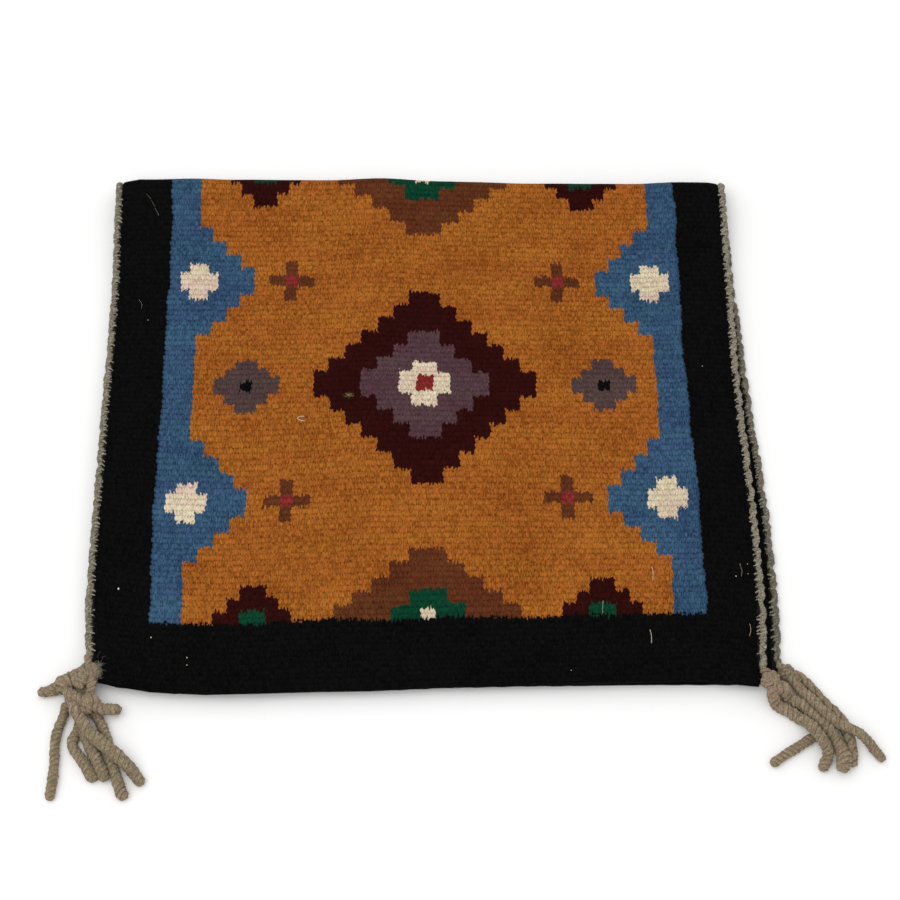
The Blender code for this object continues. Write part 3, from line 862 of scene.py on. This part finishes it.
def clothParts():
    count, parts = weave["ribsALayer"], weave["innerColumns"]
    low = [-count + i + s for i in range(count) for s in weave["lowSamples"]]
    top = [i + s for i in range(count) for s in weave["topSamples"]]
    # rounded front edges: extra rows that run on a little and thin down
    cap = np.radians(weave["frontAngles"])
    half = cloth["thickness"] / 2
    beyond = 0.0006 * np.sin(cap) / ribPitch
    ribs = np.concatenate([-count - beyond[::-1], low, top, [count], count + beyond])
    thin = np.concatenate([np.cos(cap)[::-1], np.ones(len(ribs) - 6), np.cos(cap)])
    edge = np.radians(weave["edgeAngles"])
    inset = weave["edgeReach"] * (1 - np.cos(edge)) / weave["patternWidth"]
    rise = np.sin(edge)
    inner = np.linspace(inset[-1], 1 - inset[-1], weave["columns"] + 1)[1:-1]
    under = np.linspace(1 - inset[2], inset[2], parts + 1)
    across = np.concatenate([inset, inner, 1 - inset[::-1], under])
    underShare = np.concatenate([[-rise[2]], -np.ones(parts - 1), [-rise[2]]])
    share = np.concatenate([rise, np.ones(len(inner)), rise[::-1], underShare])
    grid = np.broadcast_to(across, (len(ribs), len(across)))
    ribGrid = np.broadcast_to(ribs[:, None], grid.shape)
    distance = ribDistance(ribGrid, grid)
    middle = clothMiddle(grid, distance)
    normal = clothNormal(np.clip(grid, 0.002, 0.998), distance)
    ridge = np.abs(np.sin(np.pi * (ribGrid - np.floor(ribGrid)))) ** 0.62
    isTop = ribGrid >= 0
    smooth = ~isTop | (np.abs(ribGrid) >= count - 2)
    lumps = np.where(smooth, 0.0, slowLumps(middle[..., 0], middle[..., 1]))
    isEnd = thin[:, None] < 1
    offset = (half - weave["ridge"] * np.where(isEnd, 0.3, 1 - ridge)) * thin[:, None] * share[None, :]
    wobble = 0.00035 * np.sin(grid * 260) * np.sin(grid * 91 + 1.0) * isEnd
    middle[..., 1] -= wobble * np.where(isTop, 1, 0.6)
    points = middle + normal * (offset + lumps)[..., None]
    index = np.arange(grid.size).reshape(grid.shape)
    faces = [[a, d, c, b] for a, b, c, d in gridFaces(index)]
    # close both front edges with strips between the outer and the inner side
    outer = len(across) - parts - 1
    cuts = [int(round(i * (outer - 1) / parts)) for i in range(parts + 1)]
    for row, way in ((0, 1), (-1, -1)):
        for i in range(parts):
            strip = [*index[row, cuts[i]:cuts[i + 1] + 1], *index[row, outer + parts - 1 - i:][:2]]
            faces.append(strip[::way])
    flat = onPattern(grid, ribGrid * ribPitch).reshape(-1, 2)
    return points.reshape(-1, 3), faces, [flat[i] for f in faces for i in f]


# The pattern is a generic one of stepped diamonds, blocks and crosses. It mirrors about the
# middle line and about the middle of each layer: side and along are distances from these.
pattern = {
    "middle": 0.00175,
    "halfWidth": 0.14825,
    "layerMiddle": 0.1430,
    "halfLength": 0.1430,
    "shapes": (
        # wool, centre (side, along), size of a step, number of steps; millimetres
        # with 0 steps it is a plain block and the sizes are its half sizes
        ("blue", (148, 0), (17, 150), 0),
        ("blue", (131, 71.5), (8, 9), 4),
        ("cream", (131, 71.5), (5.5, 6), 2),
        ("maroon", (0, 0), (9, 9), 7),
        ("purple", (0, 0), (9, 9), 4),
        ("cream", (0, 0), (7.5, 7.5), 2),
        ("red", (0, 0), (5, 5), 0),
        ("brown", (0, 143), (10, 8), 5),
        ("green", (0, 143), (10, 8), 2),
        ("cream", (0, 143), (4, 5), 0),
        ("brown", (77, 71.5), (13, 3.4), 0),
        ("brown", (77, 71.5), (3.4, 13), 0),
        ("red", (77, 71.5), (3.4, 3.4), 0),
        ("taupe", (101, 0), (6, 6), 3),
        ("black", (101, 0), (3.4, 3.4), 0),
        ("maroon", (93, 143), (7, 7), 3),
        ("green", (93, 143), (7, 7), 0),
    ),
}
wools = {                       # darker and lighter end of each wool's heather
    "ochre": ((0.153, 0.0405, 0.0034), (0.440, 0.1470, 0.0240)),
    "blue": ((0.011, 0.0340, 0.0720), (0.054, 0.1180, 0.2080)),
    "black": ((0.0006, 0.0006, 0.0006), (0.0046, 0.0048, 0.0048)),
    "maroon": ((0.0140, 0.0016, 0.0012), (0.0335, 0.0048, 0.0044)),
    "purple": ((0.050, 0.026, 0.033), (0.103, 0.054, 0.062)),
    "brown": ((0.060, 0.016, 0.005), (0.132, 0.040, 0.015)),
    "taupe": ((0.046, 0.028, 0.026), (0.096, 0.060, 0.058)),
    "green": ((0.0016, 0.027, 0.013), (0.0040, 0.060, 0.029)),
    "cream": ((0.450, 0.360, 0.250), (0.765, 0.660, 0.490)),
    "red": ((0.125, 0.012, 0.012), (0.270, 0.032, 0.029)),
}


def clothMaterial(name, lift=0.0):
    material, shader = newMaterial(name)
    side, along = readMap("wovenCloth")
    place = joinAxes(side, along)

    def apart(value, other):
        return calc("ABSOLUTE", calc("SUBTRACT", value, other))

    def tinted(colour, tint):
        return blendColours(1.0, colour, tint, "MULTIPLY")

    # hand-spun weft is uneven, so ribs and beads wander
    sway = noiseAt(place, 330.0)
    swayTwo = noiseAt((along, side, 4.0), 330.0)
    rib = calc("DIVIDE", along, ribPitch)
    ribNumber = calc("FLOOR", rib)
    odd = calc("FLOORED_MODULO", ribNumber, 2.0)
    bead = calc("ADD", calc("DIVIDE", side, weave["beadPitch"]), (odd, 0.5), (swayTwo, 1.5), -0.75)
    beadDome = calc("SINE", (calc("FRACT", bead), math.pi))
    ribDome = calc("SINE", (calc("FRACT", calc("ADD", rib, (sway, 0.5), -0.25)), math.pi))
    # colours meet in short uneven teeth along the ribs and in scallops across them
    drift = noiseAt(place, 28.0)
    driftTwo = noiseAt((along, side, 5.0), 31.0)
    column = calc("FLOOR", calc("DIVIDE", side, weave["beadPitch"] * 0.55))
    tooth = chanceAt(column, calc("FLOOR", calc("DIVIDE", along, 0.013)), 2.0)
    streakTooth = noiseAt(((side, 1300.0), (along, 160.0), 8.0), 1.0)
    ribChance = chanceAt(ribNumber, 3.0, 6.0)
    softAlong = calc("ADD", along, (tooth, 0.0024), (streakTooth, 0.0050), (drift, 0.0055), -0.00645)
    softSide = calc("ADD", side, (ribDome, 0.0006), (ribChance, 0.0010), (driftTwo, 0.0040), -0.0025)
    fromMiddle = apart(softSide, pattern["middle"])
    fromFold = calc("ABSOLUTE", softAlong)
    fromCentre = apart(fromFold, pattern["layerMiddle"])
    # heather: streaks along each pick, and its own tone for every bead
    beadTone = chanceAt(calc("FLOOR", bead), ribNumber, 0.0)
    streak = noiseAt(((side, 1450.0), (along, 410.0), 1.0), 1.0, 3.0, 0.6)
    fibre = noiseAt(((side, 3.0), along, 0.0), 1100.0, 3.0, 0.7)
    slow = noiseAt(place, 30.0, 3.0)
    tone = calc("ADD", (beadTone, 0.12), (streak, 0.80), (fibre, 0.40), (slow, 0.22))
    tone = stretchRange(tone, 0.54, 1.00)
    shades = {key: blendColours(tone, *pair) for key, pair in wools.items()}
    colour = shades["ochre"]
    for wool, centre, sizes, steps in pattern["shapes"]:
        away = [calc("DIVIDE", apart(value, at * mm), size * mm)
                for value, at, size in zip((fromMiddle, fromCentre), centre, sizes)]
        if steps:
            inside = calc("LESS_THAN", calc("ADD", *[calc("FLOOR", v) for v in away]), steps - 0.5)
        else:
            inside = calc("LESS_THAN", calc("MAXIMUM", *away), 1.0)
        colour = blendColours(inside, colour, shades[wool])
    # the dye runs a little redder or yellower from one batch of picks to the next
    batch = noiseAt(((side, 14.0), (along, 70.0), 9.0), 1.0)
    colour = blendColours(stretchRange(batch, 0.40, 0.62), tinted(colour, (1.00, 0.93, 0.96)),
                          tinted(colour, (1.05, 1.09, 1.01)))
    # stray fibres of rosier and greener shades spun into the wool
    flecks = noiseAt(((side, 620.0), (along, 300.0), 2.0), 1.0)
    rosy, olive = tinted(colour, (1.18, 0.94, 1.35)), tinted(colour, (0.88, 1.07, 1.05))
    colour = blendColours(stretchRange(flecks, 0.54, 0.68, 0.58), colour, rosy)
    colour = blendColours(stretchRange(flecks, 0.46, 0.32, 0.58), colour, olive)
    # black fibres creep over the colours beside the border
    border = calc("MAXIMUM", calc("SUBTRACT", fromMiddle, pattern["halfWidth"]),
                  calc("SUBTRACT", fromFold, pattern["layerMiddle"] + pattern["halfLength"]))
    creep = calc("MULTIPLY", stretchRange(border, -0.0016, 0.0, 0.6), stretchRange(streak, 0.36, 0.62))
    for amount in (creep, calc("GREATER_THAN", border, 0.0)):
        colour = blendColours(amount, colour, shades["black"])
    # painted shade in the small pits where beads and ribs meet
    pitShade = calc("ADD", (ribDome, -0.58), (beadDome, -0.62), (fibre, 0.8), (streak, -1.2), 1.40)
    colour = blendColours(stretchRange(pitShade, 0.42, 1.15, 0.85), colour, tinted(colour, (0.42, 0.32, 0.34)))
    # lift paints the colour paler: a painted sheen on loose fibres
    if lift:
        colour = blendColours(lift, colour, (0.30, 0.27, 0.24))
    height = calc("ADD", (calc("MULTIPLY", beadDome, ribDome), 0.8), (fibre, 0.8), (streak, 0.6))
    finishWool(shader, colour, height, 0.55, weave["bump"], weave["finish"])
    return material


rug = makePiece("folded_cloth", [clothParts()], clothMaterial("rugWool"), "rug_cloth",
                "wovenCloth")
print("cloth woven", len(rug.data.polygons), "faces")

# Wool fuzz over the cloth and its edges; each fibre takes the colour it grows from, painted a little paler
# as a painted sheen

fuzzLook = {
    "onTop": 3000,
    "onFold": 420,
    "onFront": 420,
    "onSides": 500,
    "longest": 0.0030,
    "radius": 0.000032,
}


def makeFuzz(look):
    ends = np.cumsum([look[part] for part in ("onTop", "onFold", "onFront", "onSides")])
    count = ends[-1]
    fold, front, sides = (slice(a, b) for a, b in zip(ends, ends[1:]))
    across = between(0.004, 0.996, count)
    distance = between(0.006, cloth["layerDepth"] - 0.001, count)
    distance[fold] = between(-0.004, 0.006, look["onFold"])
    distance[front] = (cloth["layerDepth"] - 0.0003) * random.choice((-1.0, 1.0), look["onFront"])
    across[sides] = random.choice((0.001, 0.999), look["onSides"])
    normal = clothNormal(np.clip(across, 0.002, 0.998), distance)
    starts = clothMiddle(across, distance) + normal * (cloth["thickness"] / 2 - 0.0002)
    ways = np.zeros((count, 3))
    ways[:, 0] = random.normal(0, 0.45, count)
    ways[:, 1] = random.choice((-1.0, 1.0), count) * between(0.4, 1.0, count)
    ways += normal * between(0.10, 0.42, (count, 1))
    ways[front, 1] = -between(0.3, 1.0, look["onFront"])
    ways[fold, 1] = between(0.3, 1.0, look["onFold"])
    lengths = look["longest"] * between(0.3, 1.0, count)
    lengths[ends[0]:ends[2]] *= 0.6     # shorter on the fold and the front
    hairs = hairParts(starts, unit(ways), lengths, look["radius"], onPattern(across, distance), curl=0.5)
    return makePiece("wool_fuzz", [hairs], clothMaterial("fuzzWool", lift=0.10),
                     mapName="wovenCloth")


def topHeight(x, y):
    # how high the upper layer's face is
    gap = layerGap(np.asarray(x), np.asarray(y), 0.1500)
    return float(2 * cloth["thickness"] + cloth["restLift"] + gap + slowLumps(x, y))


# A few stray specks and threads caught on the wool

lint = {
    "specks": (                 # x, y, size in millimetres
        (-164, -108.8, 0.5), (-144.7, -137.8, 0.34), (-124.9, -149.7, 0.3), (-124.7, -154, 0.26),
        (158.2, 31, 0.24), (-158, 62, 0.22), (79.4, -157, 0.2), (170, -101.3, 0.28),
        (172.6, -94.2, 0.17), (176.6, -94, 0.19), (176.6, -99.9, 0.18)),
    "threads": (                # ends in millimetres, thickness
        ((124.4, -95.6), (125.1, -98.8), (124.8, -104.7), 0.17),
        ((97.5, -116.1), (97.2, -120.3), (97.1, -124.1), 0.09),
        ((122, -133.5), (122.7, -137), (122.6, -141.7), 0.16),
        ((175.7, -129.7), (176.1, -133.5), (175.2, -137.2), 0.09),
        ((172.7, -94.8), (173.4, -98.4), (172.8, -101.5), 0.06),
        ((-163.6, 147.5), (-160, 142), (-157.6, 136.6), (-155.3, 132), 0.026),
        ((-164.1, 75.8), (-162.2, 72.6), (-162.4, 69.4), 0.03),
        ((-66.6, -1.9), (-68.5, -2), (-70.4, -3.1), (-68.6, -4.4), (-66, -5), 0.25)),
    "wool": dict(cordWool, warm=(0.72, 0.57, 0.42), green=(0.62, 0.54, 0.40), pink=(0.72, 0.54, 0.40),
                 shade=(0.42, 0.33, 0.24), pale=(0.86, 0.76, 0.62)),
}


def makeLint(look):
    parts = []
    for speck in look["specks"]:
        x, y, size = (v * mm for v in speck)
        lift = topHeight(x, y) + size * 0.5
        parts.append(ellipsoidCore((x, y, lift), (size, size * 1.4, size * 0.7), 1.0))
    for *places, thick in look["threads"]:
        line = [(x * mm, y * mm, topHeight(x * mm, y * mm) + 0.0001 + thick * mm) for x, y in places]
        parts.append(tubeParts(evenCurve(line, 0.0004), thick * mm, pitch=0.003, groove=0.1, sides=6,
                               capStart=0.9, lumps=0.5))
    return makePiece("caught_lint", parts, cordMaterial("lintWool", look["wool"], 0.003))


def makeTuft(name, centre, spread, lean, count, longest, wool):
    starts = np.array(centre) + random.normal(0, 1, (count, 3)) * spread
    ways = unit(random.normal(0, 1, (count, 3)) * (1.0, 1.0, 0.25) + lean)
    places = between(0, 1, (count, 2))
    hairs = hairParts(starts, ways, longest * between(0.4, 1, count), 0.00008, places, curl=0.9)
    return makePiece(name, [hairs], cordMaterial(name + "Wool", wool, 0.003))


# a loose tuft where the left cord meets its knot, and a wisp of green-gold wool on the cloth
tuft = makeTuft("corner_tuft", (-0.1722, -0.1578, 0.0108), (0.0011, 0.0022, 0.0006), (0.5, 0, 0.1),
                260, 0.0032, stitchWool)
wispWool = dict(cordWool, warm=(0.30, 0.24, 0.075), green=(0.26, 0.24, 0.06), pink=(0.30, 0.21, 0.09),
                pale=(0.50, 0.45, 0.20), shade=(0.12, 0.09, 0.03))
wisp = makeTuft("green_gold_wisp", (-0.0420, 0.0122, topHeight(-0.0420, 0.0122) + 0.0001),
                (0.0011, 0.0005, 0.00005), (0.2, 0, 0.0), 70, 0.0020, wispWool)
fuzz = makeFuzz(fuzzLook)
strays = makeLint(lint)
print("fuzz and lint added")


# Floor, light and world

studio = {
    "floor": 0.96,
    "world": 0.88,
    "keyPower": 13.0,
    "keySize": 1.8,
    "keyPlace": (-0.7, -0.5, 1.9),
}


def makeStudio(setup):
    floor = addMesh("floor", [(-6, -6, 0), (6, -6, 0), (6, 6, 0), (-6, 6, 0)], [(0, 1, 2, 3)])
    material, shader = newMaterial("paper")
    grain = noiseAt(objectPlace(), 8.0)
    white = setup["floor"]
    paper = blendColours(grain, (white, white, white), (white * 1.01, white * 1.01, white))
    setInputs(shader, {"Base Color": paper, "Roughness": 0.9, "Specular IOR Level": 0.1})
    floor.data.materials.append(material)
    world = bpy.data.worlds.new("studioWorld")
    world.use_nodes = True
    setInputs(world.node_tree.nodes["Background"], {"Color": (1, 1, 1, 1), "Strength": setup["world"]})
    bpy.context.scene.world = world
    data = bpy.data.lights.new("softbox", "AREA")
    data.energy = setup["keyPower"]
    data.size = setup["keySize"]
    key = addObject("softbox", data)
    key.location = setup["keyPlace"]
    key.rotation_euler = (-key.location).to_track_quat("-Z", "Y").to_euler()
    bpy.context.scene.view_settings.view_transform = "Standard"


makeStudio(studio)
print("studio lit")
